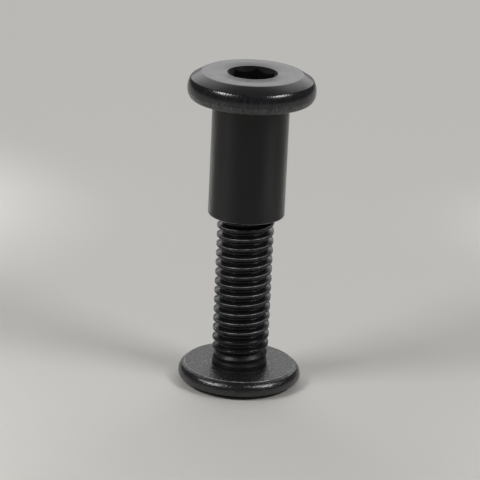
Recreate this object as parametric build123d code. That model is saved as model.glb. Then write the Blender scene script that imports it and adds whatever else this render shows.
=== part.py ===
from build123d import *
import math
import os

# Binding barrel screw: a socket-head barrel nut on a low-head M6 screw that stands on its own head.
# Frame: origin at the middle of the screw's outer head face, +Z up the common axis, millimetres.

# Thread: metric coarse, right-hand, rolled, with flat roots and crests that aren't rolled full
thread_nominal_d = 6.0
thread_pitch = 1.0
thread_flank_angle = 60.0  # between the two flanks
crest_shortfall = 0.12  # radial, below the nominal diameter
neck_shortfall = 0.07  # radial, of the plain neck below the pitch diameter
thread_start_angle = 220.0  # where the first turn leaves the neck, anticlockwise from +X
running_clearance = 0.07  # radial, from the crests to the plain bore that stands for the tapped hole

# Screw shank, from the head up
screw_length = 20.0  # under the head, to the tip
screw_neck_length = 1.0  # plain part under the first turn
screw_neck_flare = 0.35  # at 45 degrees, into the head
screw_runout_length = 2.6  # where crest and root grow out of the neck
screw_tip_chamfer = 0.7

# Screw head, from its outer face to its seat
screw_face_d = 10.0
screw_cone_d = 11.62
screw_cone_drop = 0.47
screw_side_d = 12.28
screw_side_land = 0.36  # height of the widest band
screw_rim_d = 11.4
screw_head_thickness = 1.68

# Nut barrel, from its open end up
barrel_length = 12.0  # under the head
barrel_wall = 0.91  # around the bore
barrel_end_chamfer = 0.25
bore_lead_in = 0.35
bore_end_chamfer = 0.4
socket_floor = 1.0  # metal between the bore's blind end and the socket
engaged_length = 3.8  # how far the screw's tip stands inside the nut

# Nut head, from its outer face to its seat
nut_face_d = 10.14
nut_cone_d = 12.2
nut_cone_drop = 0.62
nut_side_d = 12.82
nut_side_land = 0.7
nut_rim_d = 12.0
nut_head_thickness = 2.65

# Hexagon sockets, one key for both
key_across_flats = 4.0
key_clearance = 0.02  # on each flat
socket_mouth_d = 5.0  # of the 45 degree lead-in
nut_socket_depth = 3.0
nut_socket_angle = 19.0  # of one corner, anticlockwise from +X
screw_socket_depth = 2.4
screw_socket_angle = 0.0

# Sizes that follow from the ones above
flank_slope = math.tan(math.radians(thread_flank_angle / 2))
sharp_v_height = thread_pitch / 2 / flank_slope
nominal_r = thread_nominal_d / 2
pitch_r = nominal_r - 3 / 8 * sharp_v_height
minor_r = nominal_r - 5 / 8 * sharp_v_height
crest_r = nominal_r - crest_shortfall
neck_r = pitch_r - neck_shortfall
neck_top = screw_head_thickness + screw_neck_length
screw_tip = screw_head_thickness + screw_length
bore_r = crest_r + running_clearance
barrel_r = bore_r + barrel_wall
nut_height = barrel_length + nut_head_thickness
bore_depth = nut_height - nut_socket_depth - socket_floor
nut_mouth = screw_tip - engaged_length

ROOTED = 0.1  # how deep joined solids reach into each other
UPRIGHT = (Align.CENTER, Align.CENTER, Align.MIN)


def revolved(*points):
    """The solid that a closed outline, given by its radii and heights, sweeps around the Z axis."""
    outline = Plane.XZ * make_face(Polyline(*points, close=True))
    return revolve(outline, Axis.Z)


def low_head(face_d, cone_d, cone_drop, side_d, side_land, rim_d, thickness):
    """A head from its outer face, at z = 0, to its seat: face, cone, and a side swollen by upsetting."""
    middle = (cone_drop + thickness) / 2
    return revolved(
        (0, 0),
        (face_d / 2, 0),
        (cone_d / 2, cone_drop),
        (side_d / 2, middle - side_land / 2),
        (side_d / 2, middle + side_land / 2),
        (rim_d / 2, thickness),
        (0, thickness),
    )


def key_socket(depth, corner_angle):
    """The hole for a hexagon key, going up from z = 0, with a 45 degree lead-in."""
    apothem = key_across_flats / 2 + key_clearance
    hexagon = RegularPolygon(apothem, 6, major_radius=False, rotation=corner_angle)
    mouth_r = socket_mouth_d / 2
    inner_r = apothem - ROOTED
    lead_in = Cone(mouth_r, inner_r, mouth_r - inner_r, align=UPRIGHT)
    return extrude(hexagon, depth) + lead_in


def crest_envelope():
    """What the thread stays inside: crests that rise out of the neck, then clear the full thread."""
    rise = (crest_r - neck_r) / screw_runout_length
    sunk = neck_top - thread_pitch / 2
    clear = neck_top + screw_runout_length + thread_pitch / 2
    sunk_r = neck_r - rise * thread_pitch / 2 - ROOTED / 10
    clear_r = crest_r + rise * thread_pitch / 2 - ROOTED / 10
    beyond = screw_tip + 3 * thread_pitch
    return revolved(
        (0, sunk),
        (sunk_r, sunk),
        (clear_r, clear),
        (clear_r, beyond),
        (0, beyond),
    )


def ridge_half(radius):
    """Half the width of the thread's ridge at a radius: an eighth of the pitch wide at the nominal one."""
    return thread_pitch / 16 + (nominal_r - radius) * flank_slope


def thread_turns():
    """The thread's ridge, one turn after another, from inside the neck past the tip."""
    sunk_r = minor_r - ROOTED
    crest_half = ridge_half(crest_r)
    sunk_half = ridge_half(sunk_r)
    profile = Plane.XZ * make_face(
        Polyline(
            (sunk_r, -sunk_half),
            (crest_r, -crest_half),
            (crest_r, crest_half),
            (sunk_r, sunk_half),
            close=True,
        )
    )
    turn = sweep(profile, Helix(thread_pitch, thread_pitch, crest_r), is_frenet=True)
    turn = Rot(0, 0, thread_start_angle) * turn
    first = neck_top - thread_pitch
    count = math.ceil((screw_tip - first) / thread_pitch) + 1
    envelope = crest_envelope()
    return [Pos(0, 0, first + number * thread_pitch) * turn & envelope for number in range(count)]


def shank():
    """The neck and its flare, the cone where the thread's root leaves it, and the core of the thread."""
    beyond = screw_tip + 3 * thread_pitch
    seat = screw_head_thickness
    return revolved(
        (0, seat - ROOTED),
        (neck_r + screw_neck_flare + ROOTED, seat - ROOTED),
        (neck_r, seat + screw_neck_flare),
        (neck_r, neck_top),
        (minor_r, neck_top + screw_runout_length),
        (minor_r, beyond),
        (0, beyond),
    )


def off_the_tip():
    """What the chamfering of the tip takes away."""
    tip_r = crest_r - screw_tip_chamfer
    beyond = screw_tip + 4 * thread_pitch
    width = thread_nominal_d
    return revolved(
        (0, screw_tip),
        (tip_r, screw_tip),
        (width, screw_tip - (width - tip_r)),
        (width, beyond),
        (0, beyond),
    )


def binding_screw():
    """The male piece, standing on its head."""
    head = low_head(
        screw_face_d,
        screw_cone_d,
        screw_cone_drop,
        screw_side_d,
        screw_side_land,
        screw_rim_d,
        screw_head_thickness,
    )
    threaded = head + shank() + thread_turns() - off_the_tip()
    return threaded - key_socket(screw_socket_depth, screw_socket_angle)


def barrel():
    """The nut's sleeve, open end at z = 0."""
    sleeve = Cylinder(barrel_r, barrel_length + ROOTED, align=UPRIGHT)
    return chamfer(sleeve.edges().sort_by(Axis.Z)[0], barrel_end_chamfer)


def bore():
    """The blind hole for the thread, up from the nut's open end."""
    hole = Cylinder(bore_r, bore_depth, align=UPRIGHT)
    hole = chamfer(hole.edges().sort_by(Axis.Z)[-1], bore_end_chamfer)
    return hole + Cone(bore_r + bore_lead_in, bore_r, bore_lead_in, align=UPRIGHT)


def barrel_nut():
    """The female piece, hanging head up on the screw's end."""
    head = low_head(
        nut_face_d,
        nut_cone_d,
        nut_cone_drop,
        nut_side_d,
        nut_side_land,
        nut_rim_d,
        nut_head_thickness,
    )
    from_top = Pos(0, 0, nut_height) * Rot(180, 0, 0)
    socket = key_socket(nut_socket_depth, -nut_socket_angle)
    nut = barrel() + from_top * head - bore() - from_top * socket
    return Pos(0, 0, nut_mouth) * nut


os.makedirs("parts", exist_ok=True)
export_step(binding_screw(), "parts/binding_screw.step")
export_step(barrel_nut(), "parts/barrel_nut.step")
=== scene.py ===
"""Binding barrel screw: a socket-head barrel nut on a low-head screw that stands on its own head.

Each piece is modelled in millimetres in the part's own frame, +Z up the common axis, and is brought to
metres when it is finished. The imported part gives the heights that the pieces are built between.
"""
import logging
import math
from collections.abc import Callable, Iterable, Sequence
from dataclasses import dataclass, field, replace
from enum import Enum

import bpy
from mathutils import Matrix, Vector

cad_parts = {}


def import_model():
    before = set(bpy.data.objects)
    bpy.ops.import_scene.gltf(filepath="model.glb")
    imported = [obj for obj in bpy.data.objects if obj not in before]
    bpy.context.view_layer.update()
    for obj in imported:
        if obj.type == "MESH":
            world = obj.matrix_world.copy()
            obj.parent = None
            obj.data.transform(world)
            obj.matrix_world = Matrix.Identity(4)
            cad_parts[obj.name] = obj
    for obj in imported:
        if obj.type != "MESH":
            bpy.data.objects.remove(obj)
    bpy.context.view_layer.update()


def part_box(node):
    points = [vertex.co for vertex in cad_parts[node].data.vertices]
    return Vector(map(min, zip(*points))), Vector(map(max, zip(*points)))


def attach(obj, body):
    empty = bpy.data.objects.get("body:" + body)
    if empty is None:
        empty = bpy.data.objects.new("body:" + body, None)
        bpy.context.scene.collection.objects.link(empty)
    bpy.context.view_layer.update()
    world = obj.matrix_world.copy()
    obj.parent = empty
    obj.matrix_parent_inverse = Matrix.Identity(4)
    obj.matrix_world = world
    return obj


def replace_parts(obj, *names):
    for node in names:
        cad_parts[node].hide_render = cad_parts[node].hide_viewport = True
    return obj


MM = 0.001
WELD = 0.0001  # vertices that are closer than this, in millimetres, are one
ROUND_STEPS = 160  # facets around a full circle
HAIR = 0.01  # tells one level from the next, in millimetres
SOCKET_LIP = 0.1  # how far a socket's finish reaches past its mouth, in millimetres
TINT_RANGE = (0.38, 0.68)  # the part of a pattern over which the thick skin's colour turns to the thin one's
ROUGH_RANGE = (0.3, 0.7)  # the part of a pattern over which the roughness varies
# The next range also sets where the painted highlight of a worn rim comes in.
WEAR_AND_HIGHLIGHT_RANGE = (0.25, 0.5)  # the part of a pattern over which rubbing sets in
UP = Vector((0, 0, 1))

Point = tuple[float, float]
Place = Callable[[Vector, Vector], bool]
Socket = bpy.types.NodeSocket
log = logging.getLogger("scene")


class Operation(Enum):
    """How one solid works on another."""

    CUT = "DIFFERENCE"
    JOIN = "UNION"


class Side(Enum):
    """Which side of a level is taken away."""

    BELOW = "clear_inner"
    ABOVE = "clear_outer"


@dataclass(frozen=True)
class Corner:
    """A corner of an outline that a tool left round.

    Attributes:
        at: Its radius and height, in millimetres.
        radius: How much of each side the rounding takes.
        segments: How many facets the rounding has.
    """

    at: Point
    radius: float
    segments: int = 5


# ---------------------------------------------------------------- modelling tools


def deselect_all() -> None:
    """Leaves nothing selected, so that an operator acts on the new piece alone."""
    if bpy.context.object and bpy.context.object.mode != "OBJECT":
        bpy.ops.object.mode_set(mode="OBJECT")
    bpy.ops.object.select_all(action="DESELECT")


def make_active(piece: bpy.types.Object) -> None:
    """Selects one piece, and nothing else."""
    deselect_all()
    piece.select_set(True)
    bpy.context.view_layer.objects.active = piece


def select_vertices(piece: bpy.types.Object, wanted: Callable[[Vector], bool]) -> None:
    """Selects the vertices of a piece in edit mode by their place.

    Args:
        piece: The piece, which is left in edit mode.
        wanted: Tells from a vertex's place whether it is selected.
    """
    make_active(piece)
    bpy.ops.object.mode_set(mode="EDIT")
    bpy.ops.mesh.select_mode(type="VERT")
    bpy.ops.mesh.select_all(action="DESELECT")
    bpy.ops.object.mode_set(mode="OBJECT")
    for vertex in piece.data.vertices:
        vertex.select = wanted(vertex.co)
    bpy.ops.object.mode_set(mode="EDIT")


def drawn_outline(name: str, points: Sequence[Point], corners: Iterable[Corner] = ()) -> bpy.types.Object:
    """Draws an open line in the XZ plane, vertex by vertex, and rounds some of its corners.

    Args:
        name: The name of the new piece.
        points: Radius and height of each vertex, in millimetres.
        corners: The corners that are rounded.

    Returns:
        A piece that holds only the line.
    """
    deselect_all()
    bpy.ops.mesh.primitive_plane_add(size=1, location=(points[0][0], 0, points[0][1]))
    piece = bpy.context.object
    piece.name = name
    bpy.ops.object.transform_apply(location=True, rotation=False, scale=False)
    bpy.ops.object.mode_set(mode="EDIT")
    bpy.ops.mesh.merge(type="CENTER")
    for (radius, height), (next_radius, next_height) in zip(points, points[1:]):
        step = (next_radius - radius, 0, next_height - height)
        bpy.ops.mesh.extrude_vertices_move(TRANSFORM_OT_translate={"value": step})
    for corner in corners:
        place = Vector((corner.at[0], 0, corner.at[1]))
        select_vertices(piece, lambda co, place=place: (co - place).length < WELD)
        bpy.ops.mesh.bevel(offset=corner.radius, segments=corner.segments, affect="VERTICES")
    bpy.ops.object.mode_set(mode="OBJECT")
    return piece


def welded(piece: bpy.types.Object) -> bpy.types.Object:
    """Merges doubled vertices and turns every face outwards.

    Args:
        piece: The piece, which is changed.

    Returns:
        The same piece.
    """
    make_active(piece)
    bpy.ops.object.mode_set(mode="EDIT")
    bpy.ops.mesh.select_all(action="SELECT")
    bpy.ops.mesh.remove_doubles(threshold=WELD)
    bpy.ops.mesh.normals_make_consistent(inside=False)
    bpy.ops.object.mode_set(mode="OBJECT")
    return piece


def turned(name: str, points: Sequence[Point], corners: Iterable[Corner] = ()) -> bpy.types.Object:
    """Spins an outline around the axis into a closed turned piece.

    Args:
        name: The name of the new piece.
        points: Radius and height of each vertex, in millimetres. The line starts and ends on the axis,
            or closes on itself.
        corners: The corners that are rounded.

    Returns:
        The turned piece.
    """
    piece = drawn_outline(name, points, corners)
    make_active(piece)
    bpy.ops.object.mode_set(mode="EDIT")
    bpy.ops.mesh.select_all(action="SELECT")
    bpy.ops.mesh.spin(
        steps=ROUND_STEPS, angle=2 * math.pi, center=(0, 0, 0), axis=UP, use_auto_merge=False
    )
    return welded(piece)


def apply_modifier(piece: bpy.types.Object, kind: str, **settings: object) -> None:
    """Adds a modifier to a piece and applies it.

    Args:
        piece: The piece.
        kind: The modifier's type.
        **settings: Its settings.
    """
    make_active(piece)
    modifier = piece.modifiers.new(kind.title(), kind)
    for key, value in settings.items():
        setattr(modifier, key, value)
    bpy.ops.object.modifier_apply(modifier=modifier.name)


def combine(piece: bpy.types.Object, tool: bpy.types.Object, operation: Operation) -> None:
    """Cuts, joins or trims a piece with a second solid, which is used up.

    Args:
        piece: The piece that is kept.
        tool: The second solid.
        operation: What the second solid does.
    """
    apply_modifier(piece, "BOOLEAN", operation=operation.value, object=tool, solver="EXACT")
    bpy.data.objects.remove(tool)


def trim(piece: bpy.types.Object, height: float, side: Side) -> None:
    """Cuts a piece off level at a height and closes it with a flat face.

    Args:
        piece: The piece.
        height: Where it is cut, in millimetres.
        side: What is taken away.
    """
    make_active(piece)
    bpy.ops.object.mode_set(mode="EDIT")
    bpy.ops.mesh.select_all(action="SELECT")
    bpy.ops.mesh.bisect(
        plane_co=(0, 0, height), plane_no=UP, use_fill=True, **{side.value: True}
    )
    bpy.ops.object.mode_set(mode="OBJECT")


def finished(piece: bpy.types.Object, smooth_angle: float = 32.0) -> bpy.types.Object:
    """Brings a piece to metres, with its place in its mesh, and shades its rounded faces smooth.

    Args:
        piece: The piece, in millimetres.
        smooth_angle: The angle, in degrees, over which an edge stays sharp.

    Returns:
        The same piece.
    """
    welded(piece)
    piece.scale = (MM, MM, MM)
    bpy.ops.object.transform_apply(location=True, rotation=True, scale=True)
    bpy.ops.object.shade_smooth_by_angle(angle=math.radians(smooth_angle))
    apply_modifier(piece, "WEIGHTED_NORMAL", mode="FACE_AREA", weight=50, keep_sharp=True)
    return piece


def dress(piece: bpy.types.Object, finish: bpy.types.Material, where: Place) -> None:
    """Gives a finish to the faces of a piece that lie in one place.

    Args:
        piece: The piece, in metres.
        finish: The material.
        where: Tells from a face's centre, in millimetres, and normal whether it gets the finish.
    """
    if finish.name not in piece.data.materials:
        piece.data.materials.append(finish)
    slot = piece.data.materials.find(finish.name)
    for face in piece.data.polygons:
        if where(face.center / MM, face.normal):
            face.material_index = slot


# ---------------------------------------------------------------- materials


def linear(colour: str) -> tuple[float, float, float, float]:
    """Turns an sRGB hex colour to the linear one that a shader takes.

    Args:
        colour: The colour, such as "#1c1c1e".

    Returns:
        Red, green, blue and alpha.
    """
    channels = [int(colour[i : i + 2], 16) / 255 for i in (1, 3, 5)]
    steep = [c / 12.92 if c <= 0.04045 else ((c + 0.055) / 1.055) ** 2.4 for c in channels]
    return (*steep, 1.0)


def add_node(
    tree: bpy.types.NodeTree,
    kind: str,
    settings: dict[str, object] | None = None,
    inputs: dict[str | int, object] | None = None,
) -> bpy.types.Node:
    """Adds one node with its settings, and its inputs as values or links.

    Args:
        tree: The node tree.
        kind: The node's type.
        settings: Properties of the node itself.
        inputs: For each input, by name or number, a value or the output socket that feeds it.

    Returns:
        The new node.
    """
    node = tree.nodes.new(kind)
    for key, value in (settings or {}).items():
        setattr(node, key, value)
    for key, value in (inputs or {}).items():
        if isinstance(value, bpy.types.NodeSocket):
            tree.links.new(value, node.inputs[key])
        else:
            node.inputs[key].default_value = value
    return node


@dataclass(frozen=True)
class WearAndHighlight:
    """Where rubbing has thinned a skin, with a pale colour that also paints the highlight such an edge
    catches: outwards of a radius, more at its high spots.

    Attributes:
        from_r: The radius at which it starts, in millimetres.
        to_r: The radius at which it is complete.
        colour: What shows there: the worn skin, painted pale as a highlight too.
    """

    from_r: float
    to_r: float
    colour: str

    def mixed(self, tree: bpy.types.NodeTree, place: Socket, skin: Socket, patches: Socket) -> Socket:
        """Mixes the worn colour, which also paints a highlight, over the skin's own.

        Args:
            tree: The material's node tree.
            place: Object coordinates.
            skin: The skin's own colour.
            patches: The pattern that breaks it up.

        Returns:
            The mixed colour.
        """
        level = add_node(
            tree,
            "ShaderNodeVectorMath",
            {"operation": "MULTIPLY"},
            {0: place, 1: (1, 1, 0)},
        ).outputs["Vector"]
        radius = add_node(
            tree, "ShaderNodeVectorMath", {"operation": "LENGTH"}, {0: level}
        ).outputs["Value"]
        reached = add_node(
            tree,
            "ShaderNodeMapRange",
            {"interpolation_type": "SMOOTHSTEP"},
            {"Value": radius, "From Min": self.from_r * MM, "From Max": self.to_r * MM},
        ).outputs["Result"]
        worn_and_lit = add_node(
            tree,
            "ShaderNodeMapRange",
            inputs={"Value": patches, "From Min": WEAR_AND_HIGHLIGHT_RANGE[0], "From Max": WEAR_AND_HIGHLIGHT_RANGE[1]},
        ).outputs["Result"]
        share = add_node(
            tree, "ShaderNodeMath", {"operation": "MULTIPLY"}, {0: reached, 1: worn_and_lit}
        ).outputs["Value"]
        return add_node(
            tree,
            "ShaderNodeMix",
            {"data_type": "RGBA"},
            {0: share, 6: skin, 7: linear(self.colour)},
        ).outputs[2]


@dataclass(frozen=True)
class BlackenedSteel:
    """Steel with a black oxide skin, sealed with a trace of oil.

    The skin is a thin dark ceramic layer, so it is modelled as a dielectric: dark and soft when seen
    square on, and clearly reflecting when seen at a low angle.

    Attributes:
        name: The finish, as a maker would call it.
        colour: The skin where it is thickest.
        thin_colour: The skin where it is thinnest.
        roughness: How much it blurs what it reflects.
        roughness_spread: How much that varies from patch to patch.
        patch_mm: The size of those patches.
        grain_mm: The spacing of the surface's finest marks, along X, Y and Z.
        grain_height_mm: How deep those marks are.
        grain_share: How much of the tint follows the marks, and not the patches.
        index: The skin's refractive index.
        wear_and_highlight: Where it is worn and painted pale as a highlight, if anywhere.
    """

    name: str
    colour: str
    thin_colour: str
    roughness: float
    roughness_spread: float
    patch_mm: float
    grain_mm: tuple[float, float, float]
    grain_height_mm: float
    grain_share: float = 0.3
    index: float = 1.4
    wear_and_highlight: WearAndHighlight | None = None

    def material(self) -> bpy.types.Material:
        """Builds the finish as a procedural material.

        Returns:
            The material.
        """
        material = bpy.data.materials.new(self.name)
        material.use_nodes = True
        tree = material.node_tree
        tree.nodes.clear()
        place = add_node(tree, "ShaderNodeTexCoord").outputs["Object"]
        patches = add_node(
            tree,
            "ShaderNodeTexNoise",
            inputs={"Vector": place, "Scale": 1 / (self.patch_mm * MM), "Detail": 4.0},
        ).outputs["Fac"]
        grain_scale = tuple(1 / (size * MM) for size in self.grain_mm)
        stretched = add_node(
            tree, "ShaderNodeMapping", inputs={"Vector": place, "Scale": grain_scale}
        ).outputs["Vector"]
        grain = add_node(
            tree,
            "ShaderNodeTexNoise",
            inputs={"Vector": stretched, "Scale": 1.0, "Detail": 3.0, "Roughness": 0.6},
        ).outputs["Fac"]
        thinness = add_node(
            tree, "ShaderNodeMix", inputs={0: self.grain_share, 2: patches, 3: grain}
        ).outputs[0]
        tint = add_node(tree, "ShaderNodeValToRGB", inputs={"Fac": thinness})
        for stop, position, shade in zip(
            tint.color_ramp.elements, TINT_RANGE, (self.colour, self.thin_colour)
        ):
            stop.position = position
            stop.color = linear(shade)
        colour = tint.outputs["Color"]
        if self.wear_and_highlight:
            colour = self.wear_and_highlight.mixed(tree, place, colour, patches)
        rough = add_node(
            tree,
            "ShaderNodeMapRange",
            inputs={
                "Value": thinness,
                "From Min": ROUGH_RANGE[0],
                "From Max": ROUGH_RANGE[1],
                "To Min": self.roughness + self.roughness_spread,
                "To Max": self.roughness - self.roughness_spread,
            },
        ).outputs["Result"]
        bump = add_node(
            tree,
            "ShaderNodeBump",
            inputs={"Height": grain, "Strength": 1.0, "Distance": self.grain_height_mm * MM},
        ).outputs["Normal"]
        skin = add_node(
            tree,
            "ShaderNodeBsdfPrincipled",
            inputs={
                "Base Color": colour,
                "Roughness": rough,
                "IOR": self.index,
                "Metallic": 0.0,
                "Normal": bump,
            },
        ).outputs["BSDF"]
        add_node(tree, "ShaderNodeOutputMaterial", inputs={"Surface": skin})
        return material


# The nut's outer face: an even satin that turns to a calm grey sheen when seen at a low angle.
FACED = BlackenedSteel(
    name="faced_satin_black_oxide_steel",
    colour="#121214",
    thin_colour="#1b1b1d",
    roughness=0.3,
    roughness_spread=0.03,
    patch_mm=0.9,
    grain_mm=(0.16, 0.16, 0.16),
    grain_height_mm=0.0012,
    index=1.48,
)
# The nut head's side: brushed up and down, so that its highlights break into short upright streaks.
# Real brushing is too fine to show, so the streaks are drawn coarser and deeper than they are.
BRUSHED = BlackenedSteel(
    name="brushed_black_oxide_steel",
    colour="#0e0e10",
    thin_colour="#29292c",
    roughness=0.2,
    roughness_spread=0.06,
    patch_mm=0.7,
    grain_mm=(0.2, 0.2, 2.0),
    grain_height_mm=0.022,
    grain_share=0.75,
    index=1.5,
)
# The nut head's lowest band: the same brushing, painted paler in streaks as a painted reflection of the
# floor that this edge looks down on.
BRUSHED_PAINTED_FLOOR_REFLECTION = replace(
    BRUSHED,
    name="brushed_black_oxide_steel_painted_reflection",
    colour="#141416",
    thin_colour="#525254",
    roughness=0.34,
)
# The barrel: a close, smooth turning that reflects its surroundings in soft upright bands. Its turning
# marks are drawn coarser than real ones.
TURNED = BlackenedSteel(
    name="turned_black_oxide_steel",
    colour="#09090b",
    thin_colour="#0f0f11",
    roughness=0.2,
    roughness_spread=0.02,
    patch_mm=2.0,
    grain_mm=(1.2, 1.2, 0.09),
    grain_height_mm=0.0003,
    index=1.37,
)
# The punched sockets and the tapped hole: unfinished and rough, and painted darker than the rest, a painted
# shade for these recesses.
PUNCHED_PAINTED_SHADE = BlackenedSteel(
    name="punched_black_oxide_steel_painted_shade",
    colour="#060607",
    thin_colour="#101012",
    roughness=0.65,
    roughness_spread=0.12,
    patch_mm=0.5,
    grain_mm=(0.14, 0.14, 0.5),
    grain_height_mm=0.006,
    index=1.22,
)
# The rolled thread: smooth and dark, in its grooves and on its narrow crests alike.
ROLLED = BlackenedSteel(
    name="rolled_black_oxide_steel",
    colour="#0c0c0e",
    thin_colour="#17171a",
    roughness=0.25,
    roughness_spread=0.06,
    patch_mm=0.45,
    grain_mm=(0.3, 0.3, 0.12),
    grain_height_mm=0.001,
    index=1.38,
)
# The neck, its flare and the faint turns that start on it: hardly touched by the rolling, so matt.
FORGED = BlackenedSteel(
    name="forged_black_oxide_steel",
    colour="#0c0c0e",
    thin_colour="#202022",
    roughness=0.42,
    roughness_spread=0.06,
    patch_mm=0.5,
    grain_mm=(0.2, 0.2, 0.2),
    grain_height_mm=0.004,
    index=1.38,
)
# The screw head's seat: blotched and speckled, with a blurred reflection of the shank. Real speckle is
# too fine to show, so it is drawn coarser and deeper than it is.
BLOTCHED = BlackenedSteel(
    name="blotched_black_oxide_steel",
    colour="#0d0d0e",
    thin_colour="#2a2a2c",
    roughness=0.3,
    roughness_spread=0.1,
    patch_mm=0.45,
    grain_mm=(0.3, 0.3, 0.3),
    grain_height_mm=0.08,
    index=1.38,
    # Its outer ring is worn skin, painted pale as a highlight on the rim too.
    wear_and_highlight=WearAndHighlight(from_r=5.55, to_r=5.61, colour="#58585c"),
    grain_share=0.6,
)
# The screw head's side: headed, so its highlights are broad and grainy. The grain is drawn coarser and
# deeper than it is, as real grain is too fine to show.
HEADED = BlackenedSteel(
    name="headed_black_oxide_steel",
    colour="#0f0f11",
    thin_colour="#232326",
    roughness=0.17,
    roughness_spread=0.04,
    patch_mm=0.35,
    grain_mm=(0.24, 0.24, 0.24),
    grain_height_mm=0.055,
    grain_share=0.5,
    index=1.65,
)
# The rim of the screw head's seat: worn by handling, and painted a pale grey so that its rounding shows as a
# thin bright line, partly worn skin and partly a painted highlight.
RIM_WEAR_AND_PAINTED_HIGHLIGHT = BlackenedSteel(
    name="rubbed_black_oxide_steel_painted_highlight",
    colour="#48484a",
    thin_colour="#b0b0b2",
    roughness=0.24,
    roughness_spread=0.08,
    patch_mm=0.4,
    grain_mm=(0.2, 0.2, 0.2),
    grain_height_mm=0.002,
    index=1.5,
)
# Painted highlight on the thinnest edges, the thread crests' upper ones and the nut's mouth: a pale grey in
# dashes that stands in for the thin lines of light these edges catch.
EDGE_PAINTED_HIGHLIGHT = replace(
    RIM_WEAR_AND_PAINTED_HIGHLIGHT,
    name="black_oxide_steel_painted_edge_highlight",
    colour="#2c2c2f",
    thin_colour="#8c8c92",
    patch_mm=0.9,
    roughness=0.34,
)


# ---------------------------------------------------------------- the thread


@dataclass(frozen=True)
class ThreadForm:
    """One pitch of a right-hand metric thread, and how it lies on the common axis.

    Attributes:
        root_r: The radius at its roots.
        crest_r: The radius at its crests.
        root_flat: How wide its roots are.
        crest_flat: How wide its crests are.
        rounding: How much of a crest's or root's corner is rounded.
        pitch: How far it climbs in one turn.
        start_angle: Where its crest is at start_height, in degrees anticlockwise from +X.
        start_height: See start_angle.
    """

    root_r: float
    crest_r: float
    root_flat: float
    crest_flat: float
    rounding: float
    pitch: float = 1.0
    start_angle: float = 220.0
    start_height: float = 2.68

    def outline(self) -> list[Point]:
        """The thread's section over one pitch, from the middle of one root to that of the next."""
        half = self.pitch / 2
        root_end = half - self.root_flat / 2
        crest_end = self.crest_flat / 2
        return [
            (self.root_r, -half),
            (self.root_r, -root_end),
            (self.crest_r, -crest_end),
            (self.crest_r, crest_end),
            (self.root_r, root_end),
            (self.root_r, half),
        ]

    def rod(self, name: str, low: float, high: float) -> bpy.types.Object:
        """A threaded rod, cut off level at both ends.

        Args:
            name: The name of the new piece.
            low: Its lower end, in millimetres.
            high: Its upper end, in millimetres.

        Returns:
            The rod, closed at both ends.
        """
        points = self.outline()
        corners = [Corner(at, self.rounding, 4) for at in points[1:-1]]
        piece = drawn_outline(name, points, corners)
        turns_below = math.ceil((self.start_height - low) / self.pitch) + 1
        turns = math.ceil((high - low) / self.pitch) + 3
        apply_modifier(
            piece,
            "SCREW",
            angle=2 * math.pi,
            screw_offset=self.pitch,
            iterations=turns,
            steps=ROUND_STEPS // 2,
            render_steps=ROUND_STEPS // 2,
            axis="Z",
        )
        turn = Matrix.Rotation(math.radians(self.start_angle), 4, "Z")
        lift = Matrix.Translation((0, 0, self.start_height - turns_below * self.pitch))
        piece.matrix_world = lift @ turn
        bpy.ops.object.transform_apply(location=True, rotation=True, scale=False)
        welded(piece)
        trim(piece, low, Side.BELOW)
        trim(piece, high, Side.ABOVE)
        return welded(piece)


@dataclass(frozen=True)
class KeySocket:
    """A hexagon socket that a punch left: a lead-in cone, six flats with small corner radii, a floor.

    Attributes:
        across_flats: The key's size and its clearance.
        depth: From the head's face to the floor.
        mouth_d: The lead-in's width at the face.
        corner_angle: Where one corner is, in degrees anticlockwise from +X.
        corner_radius: How round the punch leaves its corners.
        lip: How round the lead-in's edge is.
        rooted: How far the lead-in reaches inside the flats.
    """

    depth: float
    corner_angle: float
    across_flats: float = 4.04
    mouth_d: float = 5.0
    corner_radius: float = 0.09
    lip: float = 0.06
    rooted: float = 0.1

    def cutter(self, face_height: float, outward: float) -> bpy.types.Object:
        """The solid that cuts the socket.

        Args:
            face_height: The height of the face that it goes into, in millimetres.
            outward: 1 where that face looks up, -1 where it looks down.

        Returns:
            The cutter.
        """
        beyond = 0.6
        length = self.depth + beyond
        deselect_all()
        bpy.ops.mesh.primitive_cylinder_add(
            vertices=6,
            radius=self.across_flats / math.sqrt(3),
            depth=length,
            location=(0, 0, face_height + outward * (beyond - length / 2)),
            rotation=(0, 0, math.radians(self.corner_angle) - math.pi / 2),
        )
        punch = bpy.context.object
        bpy.ops.object.transform_apply(location=True, rotation=True, scale=False)
        bpy.ops.object.mode_set(mode="EDIT")
        bpy.ops.mesh.select_all(action="SELECT")
        bpy.ops.mesh.bevel(offset=self.corner_radius, segments=3, affect="EDGES")
        bpy.ops.object.mode_set(mode="OBJECT")
        mouth_r = self.mouth_d / 2
        inner_r = self.across_flats / 2 - self.rooted
        lead_in = turned(
            "lead_in",
            [
                (0, face_height - outward * (mouth_r - inner_r)),
                (inner_r, face_height - outward * (mouth_r - inner_r)),
                (mouth_r, face_height),
                (mouth_r + 2 * self.lip, face_height + outward * self.lip / 2),
                (mouth_r + 2 * self.lip, face_height + outward * beyond),
                (0, face_height + outward * beyond),
            ],
            [Corner((mouth_r, face_height), self.lip)],
        )
        combine(punch, lead_in, Operation.JOIN)
        return punch


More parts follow.
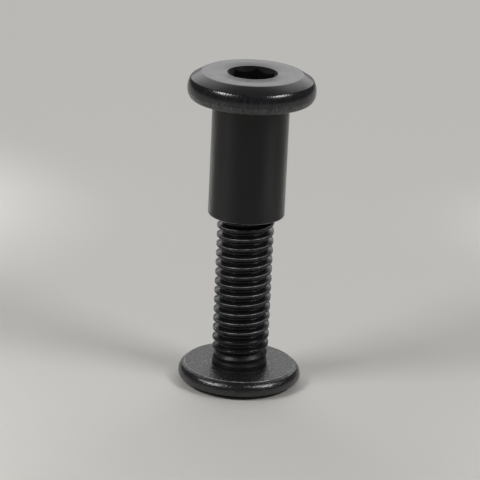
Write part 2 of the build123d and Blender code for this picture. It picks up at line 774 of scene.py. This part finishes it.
@dataclass(frozen=True)
class LowHead:
    """A wide low head: a flat face, a cone around it, and a side that upsetting has swollen.

    Attributes:
        face_d: The flat face's width.
        cone_d: The cone's width where it meets the side.
        cone_drop: How far the cone falls from the face.
        side_d: The side's width where it is widest.
        rim_d: The side's width at the seat.
        belly: Where the side is widest, as a share of the way from the cone to the seat.
        land: How high the upright band is that ends the side at the seat.
        cone_lean: How far the side leans in where it meets the cone, in degrees from upright.
        seat_lean: The same where the side meets that band, or the seat.
    """

    face_d: float
    cone_d: float
    cone_drop: float
    side_d: float
    rim_d: float
    cone_lean: float
    seat_lean: float
    belly: float = 0.5
    land: float = 0.0

    def swell(self, edge: Point, middle: float, lean: float) -> list[Point]:
        """One half of the side, from an edge to where it is widest.

        Args:
            edge: Radius and height of the edge.
            middle: The height where the side is widest.
            lean: How far the side leans in at the edge, in degrees from upright.

        Returns:
            Radius and height of each point, the edge first.
        """
        start = Vector(edge)
        end = Vector((self.side_d / 2, middle))
        rise = (end.x - start.x) / math.tan(math.radians(lean))
        turn = Vector((end.x, start.y + math.copysign(rise, end.y - start.y)))
        steps = 8
        side = []
        for number in range(steps + 1):
            share = number / steps
            place = start.lerp(turn, share).lerp(turn.lerp(end, share), share)
            side.append((place.x, place.y))
        return side

    def outline(self, face_height: float, seat_height: float) -> list[Point]:
        """The head's section, from the middle of its face to the rim of its seat.

        Args:
            face_height: The height of the face, in millimetres.
            seat_height: The height of the seat.

        Returns:
            Radius and height of each point.
        """
        outward = math.copysign(1, face_height - seat_height)
        cone_height = face_height - outward * self.cone_drop
        land_height = seat_height + outward * self.land
        widest = cone_height + (land_height - cone_height) * self.belly
        upper = self.swell((self.cone_d / 2, cone_height), widest, self.cone_lean)
        lower = self.swell((self.rim_d / 2, land_height), widest, self.seat_lean)
        side = [*upper, *lower[-2::-1]]
        if self.land:
            side.append((self.rim_d / 2, seat_height))
        return [(0, face_height), (self.face_d / 2, face_height), *side]


# ---------------------------------------------------------------- the pieces


@dataclass
class BarrelNut:
    """The female piece: a sleeve with a tapped blind hole, and a low head with a key socket.

    Attributes:
        mouth: The height of its open end, in millimetres.
        top: The height of its head's face.
        head: Its head's section.
        head_thickness: From the head's face to its seat.
        barrel_d: The barrel's width.
        end_rounding: How round the barrel's open end is.
        tapping: Its thread. It meshes with the screw's at whole pitches from rest. In between the two
            cross each other, hidden in the barrel, because the nut slides without turning.
        tapped_depth: How far the thread reaches in from the open end.
        drill_r: The radius of the hole before it is tapped.
        drill_depth: How far that hole reaches in.
        countersink_d: The width of the 45 degree countersink at the open end.
        socket: Its key socket.
        painted_reflection_height: How far up the head's side the painted reflection on its lowest band
            reaches.
        bore_wall: How far inside the barrel's surface the bore's unfinished, shade-painted skin begins.
    """

    mouth: float
    top: float
    head: LowHead = LowHead(
        face_d=10.14, cone_d=12.2, cone_drop=0.62, side_d=12.82, rim_d=12.0, cone_lean=38, seat_lean=50
    )
    head_thickness: float = 2.65
    barrel_d: float = 7.72
    end_rounding: float = 0.13
    tapping: ThreadForm = ThreadForm(
        root_r=2.53, crest_r=3.03, root_flat=0.293, crest_flat=0.13, rounding=0.05
    )
    tapped_depth: float = 10.3
    drill_r: float = 2.56
    drill_depth: float = 10.65
    countersink_d: float = 6.6
    socket: KeySocket = KeySocket(depth=3.0, corner_angle=19.0)
    painted_reflection_height: float = 0.7
    bore_wall: float = 0.5

    def blank(self) -> bpy.types.Object:
        """The turned outside, still solid.

        Returns:
            The blank.
        """
        seat = self.top - self.head_thickness
        barrel_r = self.barrel_d / 2
        outline = self.head.outline(self.top, seat)
        face_edge, cone_edge, rim = outline[1], outline[2], outline[-1]
        end_edge = (barrel_r, self.mouth)
        return turned(
            "barrel_nut_body",
            [*outline, (barrel_r, seat), end_edge, (0, self.mouth)],
            [
                Corner(face_edge, radius=0.05, segments=3),
                Corner(cone_edge, radius=0.035, segments=2),
                Corner(rim, radius=0.14),
                Corner((barrel_r, seat), radius=0.15),
                Corner(end_edge, self.end_rounding),
            ],
        )

    def drilling(self) -> bpy.types.Object:
        """What the drill and the countersink take out.

        Returns:
            The cutter.
        """
        beyond = 0.4
        point_share = 0.3  # the drill point's height, as a share of its radius
        flare = self.countersink_d / 2 + beyond
        drill_end = self.mouth + self.drill_depth
        return turned(
            "drilling",
            [
                (0, self.mouth - beyond),
                (flare, self.mouth - beyond),
                (self.drill_r, self.mouth + flare - beyond - self.drill_r),
                (self.drill_r, drill_end - self.drill_r * point_share),
                (0, drill_end),
            ],
        )

    def build(self) -> bpy.types.Object:
        """Models the nut.

        Returns:
            The piece, in metres.
        """
        nut = self.blank()
        beyond = 0.3
        tap = self.tapping.rod("tap", self.mouth - beyond, self.mouth + self.tapped_depth)
        combine(nut, tap, Operation.CUT)
        combine(nut, self.drilling(), Operation.CUT)
        combine(nut, self.socket.cutter(self.top, 1), Operation.CUT)
        return finished(nut)

    def dress(self, nut: bpy.types.Object) -> bpy.types.Object:
        """Gives each zone of the nut its finish.

        Args:
            nut: The piece, in metres.

        Returns:
            The same piece.
        """
        seat = self.top - self.head_thickness
        cone_end = self.top - self.head.cone_drop
        socket_r = self.socket.mouth_d / 2 + SOCKET_LIP
        barrel_r = self.barrel_d / 2
        bore_r = barrel_r - self.bore_wall
        mouth_edge = self.mouth + 0.1
        dress(nut, TURNED.material(), lambda at, normal: True)
        dress(nut, BRUSHED.material(), lambda at, normal: at.z > seat - HAIR and at.xy.length > barrel_r)
        dress(nut, FACED.material(), lambda at, normal: at.z > cone_end and normal.z > 0.8)
        # The lowest band of the head's side gets a painted reflection of the floor, paler in streaks.
        dress(
            nut,
            BRUSHED_PAINTED_FLOOR_REFLECTION.material(),
            lambda at, normal: seat < at.z < seat + self.painted_reflection_height and at.xy.length > barrel_r,
        )
        # The mouth's rounded edge gets a painted highlight.
        dress(nut, EDGE_PAINTED_HIGHLIGHT.material(), lambda at, normal: at.z < mouth_edge and -0.97 < normal.z < -0.3)
        # The socket and the bore get a painted shade.
        dress(
            nut,
            PUNCHED_PAINTED_SHADE.material(),
            lambda at, normal: at.xy.length < (socket_r if at.z > seat else bore_r),
        )
        return nut


@dataclass
class BindingScrew:
    """The male piece: a rolled thread on a low head with a key socket, standing on that head.

    Attributes:
        tip: The height of its tip, in millimetres.
        head: Its head's section.
        seat: The height of the seat at the neck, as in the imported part.
        rim_height: The height of the seat's rim. The seat is a shallow dish in the real one, so the rim
            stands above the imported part's flat seat.
        dish: Radius and height of points on the dish, from the rim inwards.
        neck_r: The neck's radius.
        neck_length: From the seat to the neck's top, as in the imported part.
        neck_flare: How round the corner between seat and neck is.
        collar: Radius and height of points on the faint collar around the neck, from the seat up.
        runout_length: How long the run-out is, but for a short blend at its end.
        last_turn: How far below the neck's top the thread already starts to grow out of it.
        tip_chamfer: The chamfer at the tip.
        rolling: Its thread.
        socket: Its key socket.
        matt_turns: How far above the neck the matt skin reaches.
    """

    tip: float
    head: LowHead = LowHead(
        face_d=10.0,
        cone_d=12.06,
        cone_drop=0.4,
        side_d=12.5,
        rim_d=11.32,
        cone_lean=50,
        seat_lean=66,
        belly=0.28,
        land=0.09,
    )
    seat: float = 1.68
    rim_height: float = 1.84
    dish: tuple[Point, ...] = ((4.6, 1.83), (3.8, 1.805), (3.25, 1.765))
    neck_r: float = 2.605
    neck_length: float = 1.0
    neck_flare: float = 0.07
    collar: tuple[Point, ...] = ((2.8, 2.25), (2.7, 2.42), (2.66, 2.55), (2.66, 2.9), (2.5, 2.97))
    runout_length: float = 2.6
    last_turn: float = 0.8
    tip_chamfer: float = 0.7
    rolling: ThreadForm = ThreadForm(
        root_r=2.4, crest_r=2.88, root_flat=0.1825, crest_flat=0.263, rounding=0.06
    )
    socket: KeySocket = KeySocket(depth=2.4, corner_angle=0.0)
    matt_turns: float = 0.7

    def shank(self) -> bpy.types.Object:
        """The threaded shank, whose last turns fade into a plain neck.

        Returns:
            The shank, which reaches down into the head.
        """
        shank = self.rolling.rod("shank", self.seat / 2, self.tip)
        neck_top = self.seat + self.neck_length
        fade_length = self.runout_length + 0.2
        fade_power = 1.6  # above 1, the thread grows fast at first and slowly at the end
        core_r = 1.0  # leaves alone whatever lies near the axis
        fading = shank.vertex_groups.new(name="run_out")
        for vertex in shank.data.vertices:
            share = 1 - (vertex.co.z - neck_top + self.last_turn) / fade_length
            if share > 0 and vertex.co.xy.length > core_r:
                fading.add([vertex.index], min(share, 1.0) ** fade_power, "REPLACE")
        apply_modifier(
            shank,
            "CAST",
            cast_type="CYLINDER",
            factor=1.0,
            radius=0.0,
            size=self.neck_r,
            use_radius_as_size=False,
            use_z=False,
            vertex_group="run_out",
        )
        combine(shank, self.tip_waste(), Operation.CUT)
        return shank

    def tip_waste(self) -> bpy.types.Object:
        """The ring that chamfering the tip takes away.

        Returns:
            The cutter.
        """
        beyond = 0.3
        reach = 1
        inner_r = self.rolling.crest_r - self.tip_chamfer
        outer_r = self.rolling.crest_r + reach
        start = (inner_r - beyond, self.tip + beyond)
        return turned(
            "tip_waste",
            [start, (outer_r, self.tip - (outer_r - inner_r)), (outer_r, self.tip + beyond), start],
        )

    def headed_blank(self) -> bpy.types.Object:
        """The head with its flare and a stub of the neck, which sinks into the shank.

        Returns:
            The blank.
        """
        outline = self.head.outline(0, self.rim_height)
        face_edge, cone_edge, rim = outline[1], outline[2], outline[-1]
        neck_corner = (self.collar[0][0], self.seat)
        return turned(
            "binding_screw_body",
            [*outline, *self.dish, neck_corner, *self.collar, (0, self.collar[-1][1])],
            [
                Corner(face_edge, radius=0.12),
                Corner(cone_edge, radius=0.09),
                Corner(rim, radius=0.07, segments=4),
                Corner(neck_corner, self.neck_flare, segments=3),
                Corner(self.collar[0], radius=0.08, segments=3),
                Corner(self.collar[3], radius=0.05, segments=3),
            ],
        )

    def build(self) -> bpy.types.Object:
        """Models the screw.

        Returns:
            The piece, in metres.
        """
        screw = self.headed_blank()
        combine(screw, self.shank(), Operation.JOIN)
        combine(screw, self.socket.cutter(0, -1), Operation.CUT)
        return finished(screw)

    def dress(self, screw: bpy.types.Object) -> bpy.types.Object:
        """Gives each zone of the screw its finish.

        Args:
            screw: The piece, in metres.

        Returns:
            The same piece.
        """
        neck_top = self.seat + self.neck_length
        shank_r = self.rolling.crest_r + 0.2
        socket_r = self.socket.mouth_d / 2 + SOCKET_LIP
        rim_r = self.head.rim_d / 2 - 0.1
        rim_band = 0.08
        crest_r = self.rolling.crest_r - 0.06
        matt_top = neck_top + self.matt_turns
        rolled_from = neck_top + self.runout_length
        dress(screw, HEADED.material(), lambda at, normal: True)
        dress(screw, ROLLED.material(), lambda at, normal: at.z > self.seat and at.xy.length < shank_r)
        dress(
            screw,
            FORGED.material(),
            lambda at, normal: self.seat < at.z < matt_top and at.xy.length < shank_r,
        )
        dress(
            screw,
            BLOTCHED.material(),
            lambda at, normal: self.seat - HAIR < at.z < self.rim_height + HAIR and normal.z > 0.95,
        )
        # The crests' upward-facing edges get a painted highlight.
        dress(
            screw,
            EDGE_PAINTED_HIGHLIGHT.material(),
            lambda at, normal: at.z > rolled_from and at.xy.length > crest_r and 0.35 < normal.z < 0.8,
        )
        # The rim's up-facing rounding gets worn skin with a painted highlight.
        dress(
            screw,
            RIM_WEAR_AND_PAINTED_HIGHLIGHT.material(),
            lambda at, normal: abs(self.rim_height - at.z) < rim_band
            and at.xy.length > rim_r
            and 0.2 < normal.z < 0.95,
        )
        # The socket gets a painted shade.
        dress(
            screw,
            PUNCHED_PAINTED_SHADE.material(),
            lambda at, normal: at.z < self.seat and at.xy.length < socket_r and normal.z > -0.9,
        )
        return screw


# ---------------------------------------------------------------- the studio


@dataclass
class Studio:
    """A plain pale floor, soft lamps and the camera.

    Attributes:
        target: The point that the camera looks at, in millimetres.
        elevation: How steeply the camera looks down, in degrees.
        distance: From the camera to the target, in millimetres.
        lens: The focal length, in millimetres, for a 36 mm wide sensor.
        roll: How far the camera is turned about its own axis, in degrees.
    """

    target: Vector = field(default_factory=lambda: Vector((-0.5, 0, 15)))
    elevation: float = 18.94
    distance: float = 268.3
    lens: float = 199.4
    roll: float = 2.62

    def camera(self) -> None:
        """Places the camera and makes it the scene's own."""
        data = bpy.data.cameras.new("camera")
        data.lens = self.lens
        data.clip_start = 0.01
        camera = bpy.data.objects.new("camera", data)
        bpy.context.scene.collection.objects.link(camera)
        tilt = math.radians(self.elevation)
        back = Vector((0, -math.cos(tilt), math.sin(tilt)))
        camera.location = (self.target + back * self.distance) * MM
        aim = (-back).to_track_quat("-Z", "Y").to_matrix().to_4x4()
        turn = aim @ Matrix.Rotation(math.radians(self.roll), 4, "Z")
        camera.rotation_euler = turn.to_euler()
        bpy.context.scene.camera = camera

    def lamp(
        self,
        name: str,
        towards: tuple[float, float],
        distance: float,
        size: tuple[float, float],
        strength: float,
        aim: tuple[float, float, float] = (0, 0, 16),
        spread: float = 180.0,
    ) -> None:
        """Places one soft lamp.

        Args:
            name: The lamp's name.
            towards: Where it stands as seen from its aim: degrees anticlockwise from -Y, and up.
            distance: How far from its aim it stands, in millimetres.
            size: Its width and height, in millimetres.
            strength: How bright its face is, where 1 is white.
            aim: The point that it faces, in millimetres.
            spread: How wide its grid lets the light out, in degrees.
        """
        data = bpy.data.lights.new(name, "AREA")
        data.shape = "RECTANGLE"
        data.size, data.size_y = (length * MM for length in size)
        data.energy = strength * math.pi * data.size * data.size_y
        data.spread = math.radians(spread)
        lamp = bpy.data.objects.new(name, data)
        bpy.context.scene.collection.objects.link(lamp)
        turn, rise = (math.radians(angle) for angle in towards)
        away = Vector((math.sin(turn) * math.cos(rise), -math.cos(turn) * math.cos(rise), math.sin(rise)))
        lamp.location = (Vector(aim) + away * distance) * MM
        lamp.rotation_euler = (-away).to_track_quat("-Z", "Y").to_euler()

    def floor(self) -> bpy.types.Object:
        """A wide pale sheet under the object.

        Returns:
            The floor.
        """
        drop = 0.02 * MM  # keeps it out of the plane of the face that stands on it
        deselect_all()
        bpy.ops.mesh.primitive_circle_add(
            vertices=96, radius=1.5, fill_type="NGON", location=(0, 0, -drop)
        )
        floor = bpy.context.object
        floor.name = "floor"
        material = bpy.data.materials.new("pale_paper")
        material.use_nodes = True
        skin = material.node_tree.nodes["Principled BSDF"]
        skin.inputs["Base Color"].default_value = linear("#bfbdb9")
        skin.inputs["Roughness"].default_value = 0.9
        floor.data.materials.append(material)
        return floor

    def world(self) -> None:
        """A plain pale surround."""
        world = bpy.data.worlds.new("surround")
        world.use_nodes = True
        world.node_tree.nodes["Background"].inputs["Color"].default_value = linear("#c9c9cc")
        world.node_tree.nodes["Background"].inputs["Strength"].default_value = 0.15
        bpy.context.scene.world = world

    def build(self) -> None:
        """Sets the studio up."""
        self.floor()
        self.world()
        self.lamp("front_right", (62, 43), 400, (150, 70), 22.0)
        self.lamp("front_left", (-62, 43), 400, (150, 70), 22.0)
        self.lamp("back_top", (180, 37), 450, (530, 480), 1.6)
        self.lamp("floor_left", (-66, 60), 160, (44, 44), 1.25, (-64, -28, 0), 30)
        self.lamp("floor_right", (66, 60), 160, (30, 30), 1.8, (66, -29, 0), 22)
        self.lamp("floor_back_left", (-137, 78), 140, (30, 30), 1.15, (-50, 52, 0), 20)
        self.lamp("floor_back_right", (139, 78), 140, (20, 20), 0.9, (47, 54, 0), 16)
        self.camera()


def main() -> None:
    """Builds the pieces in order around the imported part."""
    logging.basicConfig(level=logging.INFO, format="%(message)s")
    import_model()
    bpy.context.scene.view_settings.view_transform = "Standard"
    nut_low, nut_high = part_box("barrel_nut")
    screw_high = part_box("binding_screw")[1]

    barrel_nut = BarrelNut(mouth=nut_low.z / MM, top=nut_high.z / MM)
    nut = barrel_nut.dress(barrel_nut.build())
    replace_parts(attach(nut, "nut"), "barrel_nut")
    log.info("barrel nut: %d faces", len(nut.data.polygons))

    binding_screw = BindingScrew(tip=screw_high.z / MM)
    screw = binding_screw.dress(binding_screw.build())
    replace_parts(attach(screw, "screw"), "binding_screw")
    log.info("binding screw: %d faces", len(screw.data.polygons))

    Studio().build()


if __name__ == "__main__":
    main()
